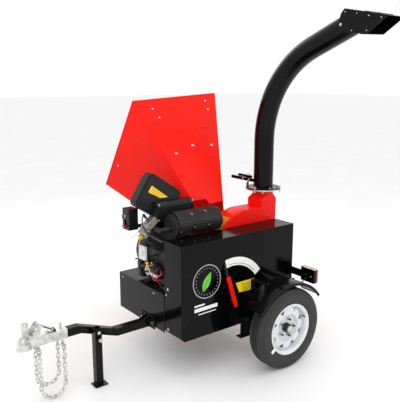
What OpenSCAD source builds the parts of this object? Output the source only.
// Towable wood chipper: a single-axle trailer that carries a V-twin engine,
// a belt-driven chipping disc, a side feed chute and a swivelling discharge pipe.
// Millimetres. +X points to the rear of the trailer (the tongue is at -X), -Y is
// the belt-guard side and +Z is up. Parts are drawn from the point on the ground
// under the middle of the axle, and site() moves them to the part's own origin.

/* [Body] */
// Front face of the body, measured back from the axle
body_front = -676; // [-720:1:-660]
// Rear face of the body
body_rear = 260; // [255:1:275]
// Half of the body's width
body_half_w = 370; // [365:1:380]
// Underside of the body above the ground
floor_z = 272; // [265:1:280]
// Top of the low engine base
base_z = 524; // [515:1:530]
// Top of the tall belt guard
deck_z = 874; // [865:1:885]
// Depth of the belt guard across the trailer
guard_depth = 174; // [170:1:176]
// Thickness of the sheet-metal covers
sheet_t = 3; // [2:0.5:3]

/* [Wheels] */
// Outside diameter of the tyres
tyre_d = 533; // [525:1:540]
// Section width of the tyres
tyre_w = 120; // [110:1:125]
// Outside diameter of the rim flanges
rim_d = 336; // [330:1:340]
// Distance of each wheel's middle plane from the centreline
wheel_y = 566; // [560:1:575]
// Bolt circle of the five wheel studs
stud_circle = 114.3; // [112:0.1:115]
// Diameter of the holes for the wheel studs
stud_hole_d = 14; // [13:0.5:15]

/* [Tow bar] */
// Side of the square tongue tube
tongue_side = 50; // [48:1:52]
// Height of the tongue's middle where it meets the body
tongue_low_z = 286; // [284:1:290]
// Height of the tongue's middle at the coupler
tongue_high_z = 372; // [366:1:376]
// Diameter of the tow ball that fits the coupler
ball_d = 50.8; // [50:0.1:51]
// Tip of the coupler, measured from the axle
coupler_tip = -1545; // [-1560:1:-1535]

/* [Rotor] */
// Diameter of the chipping disc
disc_d = 490; // [470:1:500]
// Diameter of the rotor shaft
shaft_d = 40; // [38:1:42]
// Height of the rotor shaft
rotor_z = 700; // [695:1:705]
// Distance of the rotor shaft behind the axle
rotor_x = 20; // [15:1:25]
// Outside radius of the disc housing
housing_r = 265; // [262:1:268]
// Pitch radius of the rotor pulley
rotor_pulley_r = 100; // [95:1:104]
// Pitch radius of the engine pulley
engine_pulley_r = 60; // [56:1:62]

/* [Discharge] */
// Outside diameter of the discharge pipe
pipe_d = 136; // [130:1:138]
// Wall of the discharge pipe
pipe_wall = 3; // [2:0.5:4]
// Bend radius of the discharge pipe
bend_r = 660; // [640:5:680]
// Angle that the pipe bends through
bend_angle = 68; // [60:1:72]
// Height at which the bend starts
bend_z = 1408; // [1380:1:1430]
// Length of the straight end of the pipe
pipe_end_l = 333; // [320:1:350]

/* [Hidden] */
$fn = 64;
eps = 0.5;
shift_x = 594.5;
shift_y = 152.9;
axle_z = tyre_d / 2;
axle_low_z = 222;
guard_y0 = -body_half_w;
guard_y1 = guard_y0 + guard_depth;
plate_t = 6;
near_plate_y = -171;
far_plate_y = -37;
engine_x = -500;
engine_z = 712;
foot_x = [engine_x - 110, engine_x + 110];
foot_y = [-110, 90];
bank_lean = 43;
disc_y0 = -75;
disc_t = 20;
belt_y = -270;
belt_w = 16;
belt_h = 10;
belt_gap = 22;
lever_x = -273;
lever_z = 458;
lever_shaft_d = 24;
idler_arm_l = 118;
idler_rest_angle = 148;
idler_r = 44;
pipe_x = 231;
pipe_y = -95;
flange_z = 1076;
flange_t = 8;
flange_d = 250;
ring_bolts = 6;
arc_y = pipe_y - bend_r;
end_y = arc_y + bend_r * cos(bend_angle);
end_z = bend_z + bend_r * sin(bend_angle);
hood_back = 290;
hood_y = end_y - hood_back * sin(bend_angle);
hood_z = end_z + hood_back * cos(bend_angle);
jack_x = -1073;
jack_z = 335;
jack_side = 45;
throat_x0 = -208;
throat_x1 = -69;
throat_z0 = 664;
throat_z1 = 850;
mouth_w = 720;
mouth_h = 736;
mouth_place = [-208, 543, 1401];
mouth_turn = [34.2, -3.9, 6.1];
muffler_y = -100;
muffler_z = 928;
running_gap = 0.05;

// ---- helpers ----

// Moves a sub-part from the axle's ground point to the part's own origin.
module site() {
  translate([shift_x, shift_y, 0]) children();
}

// A block between two limits on each axis.
module block(x, y, z) {
  translate([x[0], y[0], z[0]]) cube([x[1] - x[0], y[1] - y[0], z[1] - z[0]]);
}

// Extrudes an outline drawn in X and Z from y0 to y0 + t.
module plate_xz(y0, t) {
  translate([0, y0 + t, 0]) rotate([90, 0, 0]) linear_extrude(t) children();
}

// Extrudes an outline drawn in Y and Z from x0 to x0 + t.
module plate_yz(x0, t) {
  translate([x0, 0, 0]) rotate([90, 0, 90]) linear_extrude(t) children();
}

// A round bar along Y from y0 to y1.
module bar_y(x, z, d, y0, y1) {
  translate([x, y1, z]) rotate([90, 0, 0]) cylinder(d = d, h = y1 - y0);
}

// A round bar along X from x0 to x1.
module bar_x(y, z, d, x0, x1) {
  translate([x0, y, z]) rotate([0, 90, 0]) cylinder(d = d, h = x1 - x0);
}

// A flat rectangle with rounded corners, centred on the origin.
module round_rect(w, h, r) {
  square([w - 2 * r, h], center = true);
  square([w, h - 2 * r], center = true);
  for (sx = [-1, 1], sy = [-1, 1])
    translate([sx * (w / 2 - r), sy * (h / 2 - r)]) circle(r = r);
}

// A hexagon-head bolt with its head pointing along +Z and its shank down.
module hex_bolt(d, l) {
  cylinder(d = d * 1.85, h = d * 0.65, $fn = 6);
  translate([0, 0, -l]) cylinder(d = d, h = l + 0.1);
}

// Puts the children on both wheels: side -1 is left, side 1 is right.
module at_wheel(side) {
  translate([0, side * wheel_y, axle_z]) rotate([side * -90, 0, 0]) children();
}

// ---- chassis ----

module chassis_frame() {
  rail = 48;
  rail_y = body_half_w - sheet_t - 1;
  side_plate_t = 8;
  axle_slot = 53;
  front = body_front + 26;
  color("#1a1a1c") site() {
    for (s = [-1, 1]) {
      y = s > 0 ? [rail_y - rail, rail_y] : [-rail_y, -rail_y + rail];
      block([front, body_rear - 6], y, [floor_z + 2, floor_z + 2 + rail]);
    }
    for (x = [front, -420, -171, body_rear - 6 - rail])
      block([x, x + rail], [-rail_y + rail - 0.1, rail_y - rail + 0.1], [floor_z + 2, floor_z + 2 + rail]);
    // floor pan under the tank and the battery, and the far side's upper rail on two posts
    block([body_front + 6, -266], [-rail_y, rail_y], [floor_z + 49, floor_z + 53]);
    block([-258, body_rear], [rail_y - 36, rail_y + 4], [520, 562]);
    for (x = [-258, body_rear - 40]) block([x, x + 40], [rail_y - 36, rail_y], [floor_z + 49, 521]);
    difference() {
      for (s = [-1, 1]) {
        y = s > 0 ? [body_half_w - side_plate_t, body_half_w] : [-body_half_w, -body_half_w + side_plate_t];
        block([-200, body_rear - 2], y, [floor_z - 100, floor_z - eps]);
        yi = s > 0 ? [body_half_w - rail, body_half_w] : [-body_half_w, -body_half_w + rail];
        block([-200, body_rear - 2], yi, [floor_z - 106, floor_z - 100]);
        yw = s > 0 ? [body_half_w - rail, body_half_w - side_plate_t] : [-body_half_w + side_plate_t, -body_half_w + rail];
        for (x = [-120, 112]) block([x, x + 8], yw, [floor_z - 100.1, floor_z + 2.1]);
      }
      block([-axle_slot / 2, axle_slot / 2], [-500, 500], [axle_low_z - 2, floor_z + 1]);
    }
  }
}

module engine_base() {
  y0 = guard_y1 + 7;
  y1 = body_half_w;
  x1 = -262;
  color("#17171a") site() difference() {
    block([body_front, x1], [y0, y1], [floor_z, base_z]);
    block([body_front + sheet_t, x1 - sheet_t], [y0 + sheet_t, y1 - sheet_t],
      [floor_z - 1, base_z - sheet_t]);
    translate([-300, 318, base_z - 10]) cylinder(d = 58, h = 20);
    translate([-610, -60, base_z - 10]) cylinder(d = 40, h = 20);
    for (x = foot_x, y = foot_y) translate([x, y, base_z - 20]) cylinder(d = 11, h = 40);
    for (y = [-60, 60]) bar_x(y, floor_z + 26, 12.4, body_front - 1, body_front + 6);
    // the near and rear walls stop above the rails and the floor pan
    block([body_front + sheet_t, x1 + 1], [y0 - 1, y1 - sheet_t], [floor_z - 1, floor_z + 53.5]);
  }
}

module belt_guard() {
  t = sheet_t;
  corner = 22;
  color("#141416") site() difference() {
    plate_xz(guard_y0, guard_depth - eps) polygon([
      [body_front, floor_z + corner], [body_front + corner, floor_z],
      [body_rear, floor_z], [body_rear, deck_z], [body_front, deck_z]]);
    plate_xz(guard_y0 + t, guard_depth) polygon([
      [body_front + t, floor_z + corner + 1], [body_front + corner + 1, floor_z + 1],
      [body_front + corner + 1, floor_z - 9], [body_rear - t, floor_z - 9],
      [body_rear - t, deck_z - t], [body_front + t, deck_z - t]]);
    bar_y(lever_x, lever_z, lever_shaft_d + 1.2, guard_y0 - 1, guard_y0 + t + 1);
    for (z = [313, 574]) bar_x(-233, z, 9, body_front - 1, body_front + t + 1);
  }
}

module guard_back_plate() {
  color("#202024") site() difference() {
    block([body_front + 4, body_rear - 4], [guard_y1, guard_y1 + 4], [floor_z + 53.5, deck_z - 4]);
    bar_y(rotor_x, rotor_z, 190, guard_y1 - 1, guard_y1 + 5);
    bar_y(engine_x, engine_z, 80, guard_y1 - 1, guard_y1 + 5);
  }
}

// ---- tow bar ----

module tongue() {
  s = tongue_side / 2;
  x_rear = body_front - 8;
  x_bend0 = -925;
  x_bend1 = -1165;
  x_front = -1330;
  lz = tongue_low_z;
  hz = tongue_high_z;
  wall = 5;
  lean = s * 0.16;
  color("#1b1b1d") site() difference() {
    union() {
      plate_xz(-s, 2 * s) polygon([
        [x_rear, lz - s], [x_bend0 + lean, lz - s], [x_bend1 + lean, hz - s], [x_front, hz - s],
        [x_front, hz + s], [x_bend1 - lean, hz + s], [x_bend0 - lean, lz + s], [x_rear, lz + s]]);
      // flange that is bolted to the body's front face
      block([x_rear - 0.1, body_front - 0.2], [-82, 82], [256, 338]);
    }
    plate_xz(-s + wall, 2 * s - 2 * wall) polygon([
      [x_rear - 4, lz - s + wall], [x_bend0 + lean, lz - s + wall],
      [x_bend1 + lean, hz - s + wall], [x_front - 1, hz - s + wall],
      [x_front - 1, hz + s - wall], [x_bend1 - lean, hz + s - wall],
      [x_bend0 - lean, lz + s - wall], [x_rear - 4, lz + s - wall]]);
    bar_y(jack_x, jack_z + 8, 12.4, -60, 60);
    bar_y(-1286, hz, 12.4, -60, 60);
    for (y = [-60, 60]) bar_x(y, floor_z + 26, 12.4, x_rear - 1, body_front + 1);
  }
}

// Anchors of the two safety chains: x, side, height of the anchor bolt.
chain_ends = [[-1432, -1, 325], [-1284, -1, 313], [-1420, 1, 325], [-1284, 1, 336]];

module frame_bolts() {
  color("#b8bcc0") site() {
    // bolts of the guard's front face
    for (z = [313, 574]) translate([body_front, -233, z]) rotate([0, -90, 0]) hex_bolt(8, 14);
    // engine foot bolts
    for (x = foot_x, y = foot_y) translate([x, y, base_z + 16.2]) hex_bolt(10, 30);
    // bolt that holds the coupler to the tongue, with its nut
    translate([-1286, -tongue_side / 2 - 5.4, tongue_high_z]) rotate([90, 0, 0]) hex_bolt(12, 70);
    bar_y(-1286, tongue_high_z, 21, tongue_side / 2 + 5.4, tongue_side / 2 + 15);
    // jack pivot bolt
    translate([jack_x, -tongue_side / 2 - jack_side - 2.3, jack_z + 8]) rotate([90, 0, 0]) hex_bolt(12, 112);
    bar_y(jack_x, jack_z + 8, 22, tongue_side / 2 + 0.3, tongue_side / 2 + 10);
    // bolts through the tongue's flange
    for (y = [-60, 60]) translate([body_front - 8.2, y, floor_z + 26]) rotate([0, -90, 0]) hex_bolt(12, 20);
    // bolts that hold the bearings
    for (s = [-1, 1], v = [-1, 1]) {
      translate([rotor_x + s * 48, near_plate_y - 14.2, rotor_z + v * 48]) rotate([90, 0, 0])
        hex_bolt(12, 20);
      translate([rotor_x + s * 48, far_plate_y + plate_t + 14.2, rotor_z + v * 48]) rotate([-90, 0, 0])
        hex_bolt(12, 20);
    }
    // bolts that carry the ends of the chains
    for (c = chain_ends) translate([c[0], c[1] * 33.6, c[2]]) rotate([c[1] * -90, 0, 0]) {
      cylinder(d = 8, h = 24);
      translate([0, 0, 23.9]) cylinder(d = 15, h = 5, $fn = 6);
    }
  }
}

module coupler_body() {
  t = 5;
  w = tongue_side / 2 + t;
  z_top = tongue_high_z + tongue_side / 2 + t + 0.3;
  ball_x = coupler_tip + 44;
  socket_z = tongue_high_z + 8;
  color("#c4c6c3") site() {
    difference() {
      union() {
        block([-1410, -1250], [-w - 0.3, w + 0.3], [tongue_high_z - 26, z_top]);
        plate_xz(-w - 0.3, 2 * w + 0.6) polygon([[-1411, tongue_high_z - 26], [-1409, z_top],
          [ball_x, z_top - 6], [ball_x, tongue_high_z - 34]]);
        translate([ball_x, 0, tongue_high_z - 34]) cylinder(r = 44, h = 40);
        translate([ball_x, 0, socket_z - 2]) sphere(r = 34);
        // lug for a padlock
        plate_xz(-3, 6) polygon([[-1508, z_top - 12], [-1470, z_top - 6],
          [-1470, 486], [-1478, 496], [-1500, 496], [-1508, 488]]);
        // lugs for the chain bolts
        for (c = chain_ends) {
          y = c[1] > 0 ? [w + 0.2, w + 3.4] : [-w - 3.4, -w - 0.2];
          block([c[0] - 10, c[0] + 10], y, [c[2] - 9, 358]);
        }
      }
      bar_y(-1489, 478, 11, -10, 10);
      block([-1345, -1249], [-w + t - 0.3, w - t + 0.3], [tongue_high_z - 40, z_top - t]);
      block([-1425, -1240], [-w + t, w - t], [tongue_high_z - 40, tongue_high_z - tongue_side / 2 - 0.3]);
      translate([ball_x, 0, socket_z - 6]) sphere(d = ball_d + 1.2);
      translate([ball_x, 0, tongue_high_z - 50]) cylinder(d = ball_d + 1.2, h = 52);
      bar_y(-1286, tongue_high_z, 12.4, -60, 60);
      bar_y(-1440, tongue_high_z + 34, 8.1, -60, 60);
    }
  }
}

module coupler_latch() {
  px = -1440;
  pz = tongue_high_z + 34;
  color("#b9bbb8") site() {
    bar_y(px, pz, 8, -38, 38);
    for (y = [-37.5, 34]) plate_xz(y, 3.5)
      polygon([[px - 16, pz - 12], [px + 16, pz - 12], [px + 34, pz + 62], [px + 18, pz + 66],
        [px - 18, pz + 24]]);
    // cross bar and grip bar
    block([px + 17, px + 21], [-37, 37], [pz + 40, pz + 60]);
    plate_xz(-14, 28) polygon([[px + 16, pz + 58], [px + 22, pz + 66], [px + 122, pz + 6],
      [px + 114, pz - 2]]);
  }
}

// One chain link in the XZ plane, long along X.
module chain_link(inner_l, inner_w, wire) {
  r = (inner_w + wire) / 2;
  half = (inner_l - inner_w) / 2;
  for (s = [-1, 1]) {
    translate([0, 0, s * r]) rotate([0, 90, 0]) cylinder(d = wire, h = 2 * half, center = true, $fn = 20);
    translate([s * half, 0, 0]) rotate([90, 0, 0]) rotate([0, 0, s > 0 ? -90 : 90])
      rotate_extrude(angle = 180, $fn = 24) translate([r, 0]) circle(d = wire, $fn = 20);
  }
}

// A chain that hangs in a U: two straight runs joined by a half circle.
module hung_chain(y, x0, x1, z0, low_z, links) {
  pitch = 28;
  r = (x1 - x0) / 2;
  xm = (x0 + x1) / 2;
  bottom = low_z + r;
  left_l = z0 - bottom;
  arc_l = PI * r;
  for (i = [0:links - 1]) {
    s = (i + 0.5) * pitch;
    on_left = s < left_l;
    on_arc = !on_left && s < left_l + arc_l;
    a = on_arc ? (s - left_l) / r * 180 / PI : 0;
    px = on_left ? x0 : on_arc ? xm - r * cos(a) : x1;
    pz = on_left ? z0 - s : on_arc ? bottom - r * sin(a) : bottom + (s - left_l - arc_l);
    turn = on_left ? 90 : on_arc ? 90 - a : -90;
    translate([px, y, pz]) rotate([0, turn, 0]) rotate([i % 2 * 90, 0, 0]) chain_link(30, 12, 7);
  }
}

module safety_chains() {
  color("#c8cac6") site() {
    hung_chain(-46, -1432, -1284, 330, 16, 25);
    hung_chain(46, -1420, -1284, 330, 52, 23);
  }
}

module jack_leg() {
  y0 = -tongue_side / 2 - jack_side - 1.5;
  y1 = -tongue_side / 2 - 1.5;
  wall = 4;
  color("#19191b") site() {
    difference() {
      union() {
        block([jack_x - jack_side / 2, jack_x + jack_side / 2], [y0, y1], [7.9, jack_z + 34]);
        block([jack_x - 42, jack_x + 42], [y0 - 24, y1], [0, 8.1]);
      }
      block([jack_x - jack_side / 2 + wall, jack_x + jack_side / 2 - wall], [y0 + wall, y1 - wall],
        [8.1, jack_z + 35]);
      bar_y(jack_x, jack_z + 8, 12.1, y0 - 1, y1 + 1);
      bar_y(jack_x + 2, jack_z - 34, 12.1, y0 - 1, y1 + 1);
    }
  }
}

module jack_plunger() {
  y0 = -tongue_side / 2 - jack_side - 1.5;
  color("#c0c2be") site() {
    bar_y(jack_x + 2, jack_z - 34, 12, y0 - 16, -tongue_side / 2 - 2);
    bar_y(jack_x + 2, jack_z - 34, 24, y0 - 26, y0 - 15);
  }
}

// ---- running gear ----

// Axle beam under the rails, with a drop plate and a spindle at each end.
module axle() {
  side = 48;
  inner_y = 470;
  color("#222224") site() {
    block([-side / 2, side / 2], [-inner_y, inner_y], [axle_low_z, axle_low_z + side]);
    for (s = [-1, 1]) {
      yp = s > 0 ? [inner_y - 0.1, inner_y + 12] : [-inner_y - 12, -inner_y + 0.1];
      block([-30, 30], yp, [axle_low_z, axle_z + 28]);
      y = s > 0 ? [inner_y + 11.9, 582] : [-582, -inner_y - 11.9];
      bar_y(0, axle_z, 30, y[0], y[1]);
    }
  }
}

// Wheel hub around Z, with its studs towards +Z and the spindle bore right through.
module hub() {
  difference() {
    union() {
      translate([0, 0, -74]) cylinder(d = 74, h = 75.5);
      translate([0, 0, -8]) cylinder(d = 148, h = 10);
      cylinder(d = 62, h = 26);
      for (i = [0:4]) rotate([0, 0, i * 72]) translate([stud_circle / 2, 0, -12]) cylinder(d = 12, h = 48);
    }
    translate([0, 0, -75]) cylinder(d = 30 + 2 * running_gap, h = 92);
  }
  // dust cap over the hub's end
  translate([0, 0, 26.2]) cylinder(d = 56, h = 22);
  translate([0, 0, 48.1]) cylinder(d = 44, h = 5);
}

module hub_left() { color("#3a3b3c") site() at_wheel(-1) hub(); }
module hub_right() { color("#3a3b3c") site() at_wheel(1) hub(); }

// Pressed steel rim around Z: the barrel, and a dished disc with eight openings.
module rim() {
  r = rim_d / 2;
  half = 56;
  difference() {
    union() {
      rotate_extrude($fn = 96) polygon([
        [r, -half], [r, 4 - half], [r - 8, 6 - half], [r - 16, 14 - half], [r - 16, half - 14],
        [r - 8, half - 6], [r, half - 4], [r, half], [r - 10, half], [r - 20, half - 10],
        [r - 20, 10 - half], [r - 10, -half]]);
      rotate_extrude($fn = 96) polygon([
        [31.6, 2.3], [84, 2.3], [96, 22], [r - 36, 18], [r - 19, 6],
        [r - 19, 13], [r - 34, 25], [92, 29], [82, 8], [31.6, 8]]);
    }
    for (i = [0:4]) rotate([0, 0, i * 72]) translate([stud_circle / 2, 0, -5])
      cylinder(d = stud_hole_d, h = 30);
    for (i = [0:7]) rotate([0, 0, i * 45 + 22.5]) translate([116, 0, 5]) linear_extrude(40)
      polygon([[-14, 0], [12, -22], [17, -18], [17, 18], [12, 22]]);
  }
}

module rim_left() { color("#f2f2f0") site() at_wheel(-1) rim(); }
module rim_right() { color("#f2f2f0") site() at_wheel(1) rim(); }

module tyre() {
  r = tyre_d / 2;
  w = tyre_w / 2;
  b = rim_d / 2 - 7.7;
  rotate_extrude($fn = 128) polygon([
    [b, -48], [b + 8.2, -51], [b + 14, -57], [r - 62, -w], [r - 34, -w + 2], [r - 12, -50], [r - 3, -44], [r, -26],
    [r, -19], [r - 7, -18], [r - 7, -13], [r, -12], [r, -3], [r - 7, -2.5], [r - 7, 2.5], [r, 3],
    [r, 12], [r - 7, 13], [r - 7, 18], [r, 19],
    [r, 26], [r - 3, 44], [r - 12, 50], [r - 34, w - 2], [r - 62, w], [b + 14, 57], [b + 8.2, 51], [b, 48],
    [b - 6, 42], [b - 6, 36], [b + 6, 40], [b + 20, 46], [r - 40, 48], [r - 18, 38], [r - 18, -38],
    [r - 40, -48], [b + 20, -46], [b + 6, -40], [b - 6, -36], [b - 6, -42]]);
}

module tyre_left() { color("#1c1c1d") site() at_wheel(-1) tyre(); }
module tyre_right() { color("#1c1c1d") site() at_wheel(1) tyre(); }

module lug_nuts() {
  for (i = [0:4]) rotate([0, 0, i * 72]) translate([stud_circle / 2, 0, 8.3]) difference() {
    cylinder(d = 22, h = 16, $fn = 6);
    translate([0, 0, -1]) cylinder(d = 12.1, h = 18);
  }
}

module lug_nuts_left() { color("#9c9fa1") site() at_wheel(-1) lug_nuts(); }
module lug_nuts_right() { color("#9c9fa1") site() at_wheel(1) lug_nuts(); }

module fenders() {
  r = 312;
  t = 2.5;
  half = 76;
  cx = -14;
  color("#161618") site() for (s = [-1, 1]) {
    translate([cx, s * wheel_y, axle_z]) rotate([90, 0, 0]) rotate([0, 0, 36]) {
      rotate_extrude(angle = 110, $fn = 128) polygon([
        [r, -half], [r + t, -half], [r + t, half], [r, half]]);
      rotate_extrude(angle = 110, $fn = 128) polygon(s < 0 ?
        [[r - 16, half - t], [r + 0.1, half - t], [r + 0.1, half], [r - 16, half]] :
        [[r - 16, -half], [r + 0.1, -half], [r + 0.1, -half + t], [r - 16, -half + t]]);
    }
    // two bracket arms from the body, each with the height of its top
    for (arm = [[-120, 559], [112, 533]]) {
      x = [arm[0], arm[0] + 35];
      y = s > 0 ? [body_half_w + 0.3, wheel_y - 20] : [-wheel_y + 20, -body_half_w - 0.3];
      block(x, y, [arm[1] - 5, arm[1]]);
      foot = s > 0 ? [body_half_w + 0.3, body_half_w + 5.3] : [-body_half_w - 5.3, -body_half_w - 0.3];
      block(x, foot, [arm[1] - 75, arm[1]]);
    }
  }
}

module tail_light_housings() {
  color("#151517") site() for (s = [-1, 1]) {
    y = s > 0 ? [430, 548] : [-548, -430];
    block([285, 311], y, [486, 580]);
    // bracket from the body's rear corner
    ya = s > 0 ? [body_half_w - 40, 520] : [-520, -body_half_w + 40];
    block([276, 284.8], ya, [510, 560]);
    yb = s > 0 ? [body_half_w - 40, body_half_w - 34] : [-body_half_w + 34, -body_half_w + 40];
    block([body_rear + 0.3, 276.1], yb, [510, 560]);
  }
}

module tail_light_lenses() {
  color("#b3161c") site() for (s = [-1, 1]) {
    y = s > 0 ? [431, 547] : [-547, -431];
    block([311.2, 325], y, [488, 578]);
  }
}

// ---- disc housing and rotor ----

// The housing's outline: a circle with a square corner under the outlet.
module housing_outline(r) {
  translate([rotor_x, rotor_z]) circle(r = r, $fn = 128);
  translate([rotor_x, rotor_z]) square([r, r]);
}

module housing_plate(y0) {
  plate_xz(y0, plate_t) {
    housing_outline(housing_r);
    translate([rotor_x - housing_r, floor_z + 50.3]) square([2 * housing_r, rotor_z - floor_z - 50.3]);
  }
}

module housing_near_plate() {
  color("#e8261c") site() difference() {
    housing_plate(near_plate_y);
    bar_y(rotor_x, rotor_z, 62, near_plate_y - 1, near_plate_y + plate_t + 1);
    for (s = [-1, 1], v = [-1, 1])
      bar_y(rotor_x + s * 48, rotor_z + v * 48, 12.4, near_plate_y - 1, near_plate_y + plate_t + 1);
  }
}

module housing_far_plate() {
  color("#e8261c") site() difference() {
    housing_plate(far_plate_y);
    bar_y(rotor_x, rotor_z, 62, far_plate_y - 1, far_plate_y + plate_t + 1);
    block([throat_x0, throat_x1], [far_plate_y - 1, far_plate_y + plate_t + 1], [throat_z0, throat_z1]);
    for (s = [-1, 1], v = [-1, 1])
      bar_y(rotor_x + s * 48, rotor_z + v * 48, 12.4, far_plate_y - 1, far_plate_y + plate_t + 1);
  }
}

module housing_wrapper() {
  y0 = near_plate_y + plate_t + 0.1;
  w = far_plate_y - y0 - 0.1;
  wall = 4;
  neck_r = pipe_d / 2;
  neck_top = flange_z - 0.3;
  color("#e8261c") site() {
    difference() {
      plate_xz(y0, w) housing_outline(housing_r - 0.5);
      plate_xz(y0 - 1, w + 2) housing_outline(housing_r - 0.5 - wall);
      block([pipe_x - neck_r + 4, pipe_x + neck_r - 18], [y0 - 1, y0 + w + 1],
        [rotor_z + 100, rotor_z + housing_r + 1]);
    }
    // outlet neck, square below and round under the flange
    difference() {
      union() {
        block([pipe_x - neck_r - 16, rotor_x + housing_r], [near_plate_y, far_plate_y + plate_t],
          [rotor_z + housing_r + 0.2, rotor_z + housing_r + 46]);
        hull() {
          block([pipe_x - neck_r - 16, rotor_x + housing_r], [near_plate_y, far_plate_y + plate_t],
            [rotor_z + housing_r + 45, rotor_z + housing_r + 46]);
          translate([pipe_x, pipe_y, neck_top - 26]) cylinder(r = neck_r, h = 1, $fn = 32);
        }
        translate([pipe_x, pipe_y, neck_top - 26]) cylinder(r = neck_r, h = 26);
      }
      block([pipe_x - neck_r - 12, rotor_x + housing_r - 4], [near_plate_y + 4, far_plate_y + plate_t - 4],
        [rotor_z + housing_r, rotor_z + housing_r + 45]);
      hull() {
        block([pipe_x - neck_r - 12, rotor_x + housing_r - 4], [near_plate_y + 4, far_plate_y + plate_t - 4],
          [rotor_z + housing_r + 44, rotor_z + housing_r + 45]);
        translate([pipe_x, pipe_y, neck_top - 27]) cylinder(r = neck_r - 4, h = 1, $fn = 32);
      }
      translate([pipe_x, pipe_y, neck_top - 28]) cylinder(r = neck_r - 4, h = 30);
    }
  }
}

// Flanged bearing around Z, its flange on z = 0.
module bearing() {
  difference() {
    union() {
      linear_extrude(14) round_rect(130, 130, 22);
      translate([0, 0, 13.9]) cylinder(d = 92, h = 28);
    }
    translate([0, 0, -1]) cylinder(d = shaft_d + 2 * running_gap, h = 50);
    for (s = [-1, 1], v = [-1, 1]) translate([s * 48, v * 48, -1]) cylinder(d = 12.4, h = 16);
  }
}

module bearing_blocks() {
  color("#4a5a4c") site() {
    translate([rotor_x, near_plate_y - 0.1, rotor_z]) rotate([90, 0, 0]) bearing();
    translate([rotor_x, far_plate_y + plate_t + 0.1, rotor_z]) rotate([-90, 0, 0]) bearing();
  }
}

module bed_knife() {
  color("#8d9093") site()
    block([throat_x0 + 2, throat_x1 - 2], [-48.5, -20], [throat_z0 + 0.5, throat_z0 + 14]);
}

module rotor_shaft() {
  color("#a9acae") site() difference() {
    bar_y(rotor_x, rotor_z, shaft_d, -312, 30);
    bar_y(rotor_x, rotor_z, 14, -313, -290);
  }
}

module chipper_disc() {
  r = disc_d / 2;
  color("#6d7073") site() difference() {
    union() {
      bar_y(rotor_x, rotor_z, disc_d, disc_y0, disc_y0 + disc_t);
      bar_y(rotor_x, rotor_z, 90, disc_y0 - 60, disc_y0 + 0.1);
      // paddles that throw the chips, on the side away from the knives
      translate([rotor_x, disc_y0 + 0.1, rotor_z]) rotate([90, 0, 0]) for (i = [0:3])
        rotate([0, 0, i * 90 + 45]) translate([44, -4, 0]) cube([r - 52, 8, 82]);
    }
    bar_y(rotor_x, rotor_z, shaft_d + 0.2, disc_y0 - 100, disc_y0 + disc_t + 1);
    translate([rotor_x, disc_y0 + disc_t + 1, rotor_z]) rotate([90, 0, 0]) for (i = [0:3])
      rotate([0, 0, i * 90]) translate([82, -33, 0]) cube([154, 66, 8]);
  }
}

module chipper_knives() {
  color("#c3c6c8") site()
    translate([rotor_x, disc_y0 + disc_t + 5, rotor_z]) rotate([90, 0, 0]) for (i = [0:3])
      rotate([0, 0, i * 90]) translate([83, -32, 0]) difference() {
        linear_extrude(11.9) polygon([[0, 0], [152, 0], [152, 64], [0, 64]]);
        for (x = [28, 76, 124]) translate([x, 40, -1]) cylinder(d = 13, h = 14);
      }
}

// Belt pulley around Z with square-sided grooves for the belts, centred on z = 0.
module pulley(pitch_r, bore) {
  w = 2 * belt_gap + 14;
  groove = belt_w + 1.6;
  difference() {
    translate([0, 0, -w / 2]) cylinder(r = pitch_r + 3, h = w, $fn = 96);
    for (s = [-1, 1]) translate([0, 0, s * belt_gap / 2 - groove / 2]) difference() {
      cylinder(r = pitch_r + 10, h = groove, $fn = 96);
      translate([0, 0, -1]) cylinder(r = pitch_r - belt_h, h = groove + 2, $fn = 96);
    }
    translate([0, 0, -w]) cylinder(d = bore, h = 2 * w);
    for (s = [-1, 1]) translate([0, 0, s * (w / 2 - 5) - 6]) difference() {
      cylinder(r = pitch_r - belt_h - 9, h = 12);
      translate([0, 0, -1]) cylinder(d = bore + 24, h = 14);
    }
  }
}

module rotor_pulley() {
  color("#55585b") site() translate([rotor_x, belt_y, rotor_z]) rotate([90, 0, 0])
    pulley(rotor_pulley_r, shaft_d + 0.2);
}

module engine_pulley() {
  color("#55585b") site() {
    translate([engine_x, belt_y, engine_z]) rotate([90, 0, 0]) pulley(engine_pulley_r, 28);
    bar_y(engine_x, engine_z, 28.4, -306, -62);
  }
}

module belt_loop(r_add) {
  hull() {
    translate([engine_x, engine_z]) circle(r = engine_pulley_r + r_add, $fn = 64);
    translate([rotor_x, rotor_z]) circle(r = rotor_pulley_r + r_add, $fn = 64);
  }
}

module drive_belts() {
  color("#242426") site() for (s = [-1, 1])
    plate_xz(belt_y + s * belt_gap / 2 - belt_w / 2, belt_w) difference() {
      belt_loop(2);
      belt_loop(0.6 - belt_h);
    }
}

module engagement_lever() {
  y_out = guard_y0 - 10;
  color("#d3201c") site() {
    // shaft through the guard, arm inside, hand lever outside
    bar_y(lever_x, lever_z, lever_shaft_d, y_out - 8, -214);
    translate([lever_x, 0, lever_z]) {
      rotate([0, -108, 0]) {
        plate_xz(y_out - 8, 8) translate([60, 0]) round_rect(230, 28, 13.9);
        plate_xz(y_out - 1.9, 6) translate([200, 0]) round_rect(96, 14, 6.9);
      }
      rotate([0, -idler_rest_angle, 0]) {
        plate_xz(-236, 8) translate([idler_arm_l / 2, 0]) round_rect(idler_arm_l + 44, 44, 21.9);
        bar_y(idler_arm_l, 0, 16, -300, -229);
      }
    }
  }
}

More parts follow.
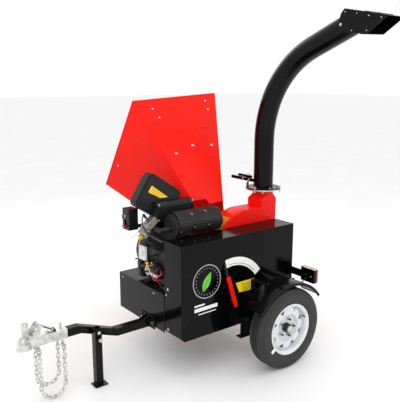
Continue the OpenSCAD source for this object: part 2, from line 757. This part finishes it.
module idler_pulley() {
  a = idler_rest_angle;
  x = lever_x + idler_arm_l * cos(a);
  z = lever_z + idler_arm_l * sin(a);
  color("#7c7f82") site() difference() {
    union() {
      bar_y(x, z, 2 * idler_r, -295, -242);
      for (y = [-295, -245]) bar_y(x, z, 2 * idler_r + 0.1, y, y + 3);
    }
    bar_y(x, z, 16 + 2 * running_gap, -296, -238);
  }
}

// ---- discharge ----

module swivel_ring() {
  color("#b9bcbe") site() translate([pipe_x, pipe_y, flange_z]) difference() {
    cylinder(d = flange_d, h = flange_t);
    translate([0, 0, -1]) cylinder(d = pipe_d - 6, h = flange_t + 2);
    for (i = [0:11]) rotate([0, 0, i * 30]) translate([flange_d / 2 - 14, 0, -1])
      cylinder(d = 9, h = flange_t + 2);
  }
}

// The cross-section of the pipe, with its outside diameter given.
module pipe_section(d) {
  difference() {
    circle(d = d);
    circle(d = d - 2 * pipe_wall);
  }
}

// Half of the pipe's bend, from one angle on; a hair's breadth parts it from the next stretch.
module bend_half(start) {
  translate([pipe_x, arc_y, bend_z]) rotate([90, 0, 90]) rotate([0, 0, start])
    rotate_extrude(angle = bend_angle / 2 - 0.01, $fn = 96) translate([bend_r, 0]) pipe_section(pipe_d);
}

// Four butted stretches: upright, two halves of the bend, and the sloping end.
module discharge_pipe() {
  base = flange_z + flange_t + 0.3;
  color("#121214") site() {
    translate([pipe_x, pipe_y, base]) {
      linear_extrude(bend_z - base - 0.1) pipe_section(pipe_d);
      difference() {
        cylinder(d = flange_d - 12, h = 7);
        translate([0, 0, -1]) cylinder(d = pipe_d - pipe_wall, h = 9);
      }
    }
    bend_half(0);
    bend_half(bend_angle / 2);
    difference() {
      translate([pipe_x, end_y, end_z]) rotate([bend_angle, 0, 0])
        linear_extrude(pipe_end_l) pipe_section(pipe_d);
      translate([pipe_x - 150, hood_y, hood_z]) rotate([0, 90, 0]) cylinder(d = 10.1, h = 300);
    }
  }
}

module swivel_handle() {
  base = flange_z + flange_t + 0.3;
  x0 = pipe_x - 62;
  pin_r = flange_d / 2 - 14;
  color("#161618") site() {
    // long bar welded to the pipe's side, and a shorter one above it
    block([x0 - 8.2, x0 - 0.2], [pipe_y + 28, pipe_y + 262], [base + 42, base + 64]);
    block([x0 + 12.2, x0 + 18.2], [pipe_y + 66, pipe_y + 210], [base + 62, base + 80]);
    block([x0 - 8.1, x0 + 18.1], [pipe_y + 88, pipe_y + 96], [base + 48, base + 78]);
    // locking pin over the ring's holes
    translate([pipe_x + pin_r * cos(120), pipe_y + pin_r * sin(120), base + 7.3]) cylinder(d = 9, h = 50);
    block([x0 - 8.1, x0 + 10], [pipe_y + 92, pipe_y + 108], [base + 44, base + 56]);
  }
}

// The hood's side outline in Y and Z.
module hood_side() {
  polygon([[-764, 2100], [-759, 2155], [-772, 2192], [-795, 2215], [-1083, 2155], [-955, 2070],
    [-800, 2082]]);
}

module deflector_hood() {
  half = pipe_d / 2 + 4;
  t = 3;
  color("#111113") site() difference() {
    union() {
      for (x = [pipe_x - half - t, pipe_x + half]) plate_yz(x, t) hood_side();
      plate_yz(pipe_x - half - 0.1, 2 * half + 0.2)
        polygon([[-795, 2215], [-1083, 2155], [-1083, 2151.9], [-795.6, 2211.9]]);
    }
    translate([pipe_x - 150, hood_y, hood_z]) rotate([0, 90, 0]) cylinder(d = 10.1, h = 300);
  }
}

module hood_bolts() {
  half = pipe_d / 2 + 7.2;
  color("#d8dadb") site() for (s = [-1, 1])
    translate([pipe_x + s * half, hood_y, hood_z]) rotate([0, s * 90, 0]) hex_bolt(10, 18);
}

// ---- feed chute ----

// The chute's tapering body between the throat and the mouth, grown by g.
module chute_form(g, over) {
  hull() {
    block([throat_x0 - g, throat_x1 + g], [far_plate_y + plate_t + 0.3 - over, far_plate_y + plate_t + 12],
      [throat_z0 - g, throat_z1 + g]);
    translate(mouth_place) rotate([0, 0, mouth_turn[2]]) rotate([mouth_turn[0], 0, 0])
      rotate([0, mouth_turn[1], 0])
      translate([-mouth_w / 2 - g, -1, -mouth_h / 2 - g]) cube([mouth_w + 2 * g, 1 + over, mouth_h + 2 * g]);
  }
}

module feed_chute() {
  color("#ee2a1f") site() {
    difference() {
      union() {
        chute_form(3, 0);
        plate_xz(far_plate_y + plate_t + 0.3, 5.7) polygon([
          [throat_x0 - 32, throat_z0 - 30], [throat_x1 + 22, throat_z0 - 30],
            [throat_x1 + 22, throat_z1 + 62],
          [throat_x0 + 38, throat_z1 + 62], [throat_x0 - 28, throat_z1]]);
      }
      chute_form(0, 2);
    }
  }
}

// Places the children on the chute's mouth frame: X across, Z up the mouth.
module at_mouth() {
  translate(mouth_place) rotate([0, 0, mouth_turn[2]]) rotate([mouth_turn[0], 0, 0])
    rotate([0, mouth_turn[1], 0])
    children();
}

module chute_bolts() {
  z0 = throat_z0 - 18;
  z1 = throat_z1 + 48;
  xm = (throat_x0 + throat_x1) / 2;
  xr = throat_x1 + 12;
  color("#e4e6e6") site() for (p = [[throat_x0 - 20, z0], [xm, z0], [xr, z0], [xr, z1], [xm, z1]])
    translate([p[0], far_plate_y + plate_t + 6.2, p[1]]) rotate([-90, 0, 0]) cylinder(d = 16, h = 6, $fn = 6);
}

// Five rubber flaps that hang from the chute's top wall.
module chute_curtain() {
  pitch = 113;
  flap_w = 110;
  flap_l = 400;
  color("#1d1d1f") site() at_mouth()
    for (i = [-2:2]) translate([i * pitch - flap_w / 2, -205, 235 - flap_l]) cube([flap_w, 4, flap_l]);
}

// ---- engine ----

module crankcase() {
  w = 105;
  color("#8f9294") site() difference() {
    union() {
      // the two upper faces are square to the cylinders
      plate_xz(-138, 256) polygon([
        [engine_x - w, base_z + 16], [engine_x + w, base_z + 16], [engine_x + w, engine_z + 38.5],
        [engine_x, engine_z + 136.4], [engine_x - w, engine_z + 38.5]]);
      bar_y(engine_x, engine_z, 190, -141, -137.9);
      for (x = foot_x, y = foot_y) block([x - 20, x + 20], [y - 20, y + 20], [base_z + 0.3, base_z + 16.1]);
    }
    bar_y(engine_x, engine_z, 28.5, -150, -60);
    for (x = foot_x, y = foot_y) {
      translate([x, y, base_z - 1]) cylinder(d = 10.6, h = 17.4);
      translate([x, y, base_z + 16.05]) cylinder(d = 23, h = 12);
    }
  }
}

// One finned cylinder, standing on z = 0.
module cylinder_block(fins) {
  translate([-40, -37, 0]) cube([80, 74, 130]);
  for (i = [0:fins - 1]) translate([-46, -43, 12 + i * 15]) cube([92, 86, 4]);
}

// Places the children on a cylinder's axis: side -1 leans forward, 1 leans back.
module on_bank(side) {
  translate([engine_x, 26.5 + side * 6.5, engine_z]) rotate([0, side * bank_lean, 0])
    translate([0, 0, 100.4]) children();
}

module cylinders() {
  color("#a5a8aa") site() for (s = [-1, 1]) on_bank(s) cylinder_block(8);
}

module valve_covers() {
  color("#c9cccd") site() for (s = [-1, 1]) on_bank(s) translate([0, 0, 130.3]) {
    linear_extrude(8) round_rect(96, 86, 16);
    translate([0, 0, 7.9]) linear_extrude(s > 0 ? 18 : 30) round_rect(80, 74, 18);
  }
}

// Cooling-air housing at the far end of the crankshaft, with the control box's bracket.
module blower_housing() {
  r = 135;
  color("#1f2023") site() difference() {
    union() {
      bar_y(engine_x, engine_z, 2 * r, 118.4, 205);
      block([engine_x - r, engine_x + r], [118.4, 190], [base_z + 22, engine_z]);
      plate_xz(118.4, 60) polygon([[engine_x - r, engine_z], [engine_x + r, engine_z],
        [engine_x + 90, 905], [engine_x - 90, 905]]);
      block([-647.9, engine_x - 91], [154, 162], [878, 900]);
    }
    bar_y(engine_x, engine_z, 2 * r - 20, 122, 201);
    bar_y(engine_x, engine_z, 150, 200, 206);
  }
}

module air_cleaner() {
  color("#1b1c1f") site() translate([-552, 50, 1080]) rotate([0, 33, 0]) {
    plate_xz(0, 67) round_rect(286, 236, 34);
    plate_xz(-5, 5.1) round_rect(262, 212, 26);
  }
}

module engine_cover() {
  y0 = -14;
  y1 = 44.9;
  z0 = 938;
  z1 = 1062;
  r = 29;
  color("#1a1b1d") site() translate([-600, 0, 0]) rotate([90, 0, 90]) linear_extrude(280) {
    translate([y0 + r, z1 - r]) circle(r = r);
    translate([y0 + r, z0]) square([y1 - y0 - r, z1 - z0]);
    translate([y0, z0]) square([y1 - y0, z1 - z0 - r]);
  }
}

module muffler() {
  color("#1d1d1f") site() {
    bar_x(muffler_y, muffler_z, 146, -560, -200);
    for (x = [-560, -204]) bar_x(muffler_y, muffler_z, 152, x, x + 4);
    // header pipe across to the front cylinder
    bar_x(muffler_y, muffler_z - 20, 34, -640, -559.9);
    translate([-640, muffler_y, muffler_z - 20]) sphere(d = 36);
    bar_y(-640, muffler_z - 20, 34, muffler_y, -23.3);
    // two brackets on the guard's back plate
    for (x = [-520, -262]) {
      block([x, x + 24], [guard_y1 + 4.2, -128], [861, 866]);
      block([x, x + 24], [guard_y1 + 4.2, guard_y1 + 8.2], [822, 866]);
    }
    // standoffs that carry the heat shield
    for (x = [-536, -230], a = [56, -10])
      translate([x, muffler_y, muffler_z]) rotate([a, 0, 0]) cylinder(d = 9, h = 83.6);
  }
}

module heat_shield() {
  r = 84;
  color("#232325") site() difference() {
    translate([-548, muffler_y, muffler_z]) rotate([0, 90, 0]) rotate([0, 0, 60])
      rotate_extrude(angle = 200, $fn = 96) translate([r, 0]) square([2, 338]);
    for (g = [0:2], a = [0:7], k = [0:4])
      translate([-536 + g * 112 + k * 20, muffler_y, muffler_z]) rotate([100 - a * 22, 0, 0])
        translate([0, 0, r - 4]) translate([0, -9, 0]) cube([8, 18, 12]);
  }
}

module starter_motor() {
  color("#2b2c2e") site() {
    bar_y(engine_x - 136.2, 640, 62, -60, 92);
    bar_y(engine_x - 136.2, 640, 50, -86, -59.9);
  }
}

module control_box() {
  color("#1c1c1f") site() difference() {
    block([-716, -648], [150, 232], [868, 1008]);
    bar_x(192, 960, 20.1, -717, -690);
    block([-717, -700], [178, 206], [884, 934]);
  }
}

module ignition_key() {
  color("#b4b7b9") site() {
    bar_x(192, 960, 20, -722, -691);
    block([-744, -721.9], [190, 194], [947, 973]);
  }
}

module throttle_knob() {
  color("#c8281f") site() {
    block([-724, -700.5], [188, 196], [888, 896]);
    block([-738, -723.9], [180, 204], [885, 899]);
  }
}

module fuel_tank() {
  color("#2a2b2d") site() {
    block([-400, -272], [-150, 300], [floor_z + 53.3, base_z - 24]);
    translate([-300, 318, base_z - 60]) cylinder(d = 48, h = 86);
    block([-324, -276], [299.9, 342], [base_z - 90, base_z - 59.9]);
  }
}

module fuel_cap() {
  color("#1a1a1a") site() translate([-300, 318, base_z + 26.3]) {
    cylinder(d = 66, h = 20);
    for (i = [0:11]) rotate([0, 0, i * 30]) translate([33, 0, 0]) cylinder(d = 6, h = 20);
  }
}

module battery() {
  color("#202124") site() {
    block([-640, -440], [60, 230], [floor_z + 53.3, base_z - 40]);
    for (y = [100, 190]) translate([-600, y, base_z - 40.1]) cylinder(d = 18, h = 18);
  }
}

// A tube swept along a list of points with eight sides.
function unit(v) = v / norm(v);
function tangent(p, i) = unit(p[min(i + 1, len(p) - 1)] - p[max(i - 1, 0)]);
function ring(c, t, r, n) =
  let (side = unit(cross(t, abs(t[2]) < 0.9 ? [0, 0, 1] : [1, 0, 0])), up = cross(side, t))
  [for (k = [0:n - 1]) c + r * cos(k * 360 / n) * side + r * sin(k * 360 / n) * up];

module tube(points, d) {
  n = 8;
  m = len(points);
  rings = [for (i = [0:m - 1]) each ring(points[i], tangent(points, i), d / 2, n)];
  sides = [for (i = [0:m - 2], k = [0:n - 1])
    let (a = i * n + k, b = i * n + (k + 1) % n) each [[a, b, b + n], [a, b + n, a + n]]];
  caps = [[for (k = [n - 1:-1:0]) k], [for (k = [0:n - 1]) (m - 1) * n + k]];
  polyhedron(points = rings, faces = concat(sides, caps), convexity = 6);
}

// Starter cable, from the battery's post up through the base to the starter.
module engine_wires() {
  color("#c9323a") site() tube([
    [-600, 90.5, 493], [-600, 60, 493], [-602, 20, 492], [-606, -20, 492], [-612, -48, 498],
    [-616, -60, 515], [-624, -62, 545], [-646, -68, 566], [-664, -80, 584], [-672, -96, 600],
    [-670, -110, 614], [-660, -117, 626], [-648, -116, 634], [-640, -108, 638], [-636.2, -98, 640],
    [-636.2, -86.6, 640]], 9);
}

chassis_frame();
engine_base();
belt_guard();
guard_back_plate();
tongue();
frame_bolts();
coupler_body();
coupler_latch();
safety_chains();
jack_leg();
jack_plunger();
axle();
fenders();
tail_light_housings();
tail_light_lenses();
hub_left();
rim_left();
tyre_left();
lug_nuts_left();
hub_right();
rim_right();
tyre_right();
lug_nuts_right();
housing_near_plate();
housing_far_plate();
housing_wrapper();
bearing_blocks();
bed_knife();
rotor_shaft();
chipper_disc();
chipper_knives();
rotor_pulley();
engine_pulley();
drive_belts();
engagement_lever();
idler_pulley();
swivel_ring();
discharge_pipe();
swivel_handle();
deflector_hood();
hood_bolts();
feed_chute();
chute_bolts();
chute_curtain();
crankcase();
cylinders();
valve_covers();
blower_housing();
air_cleaner();
engine_cover();
muffler();
heat_shield();
starter_motor();
control_box();
ignition_key();
throttle_knob();
fuel_tank();
fuel_cap();
battery();
engine_wires();
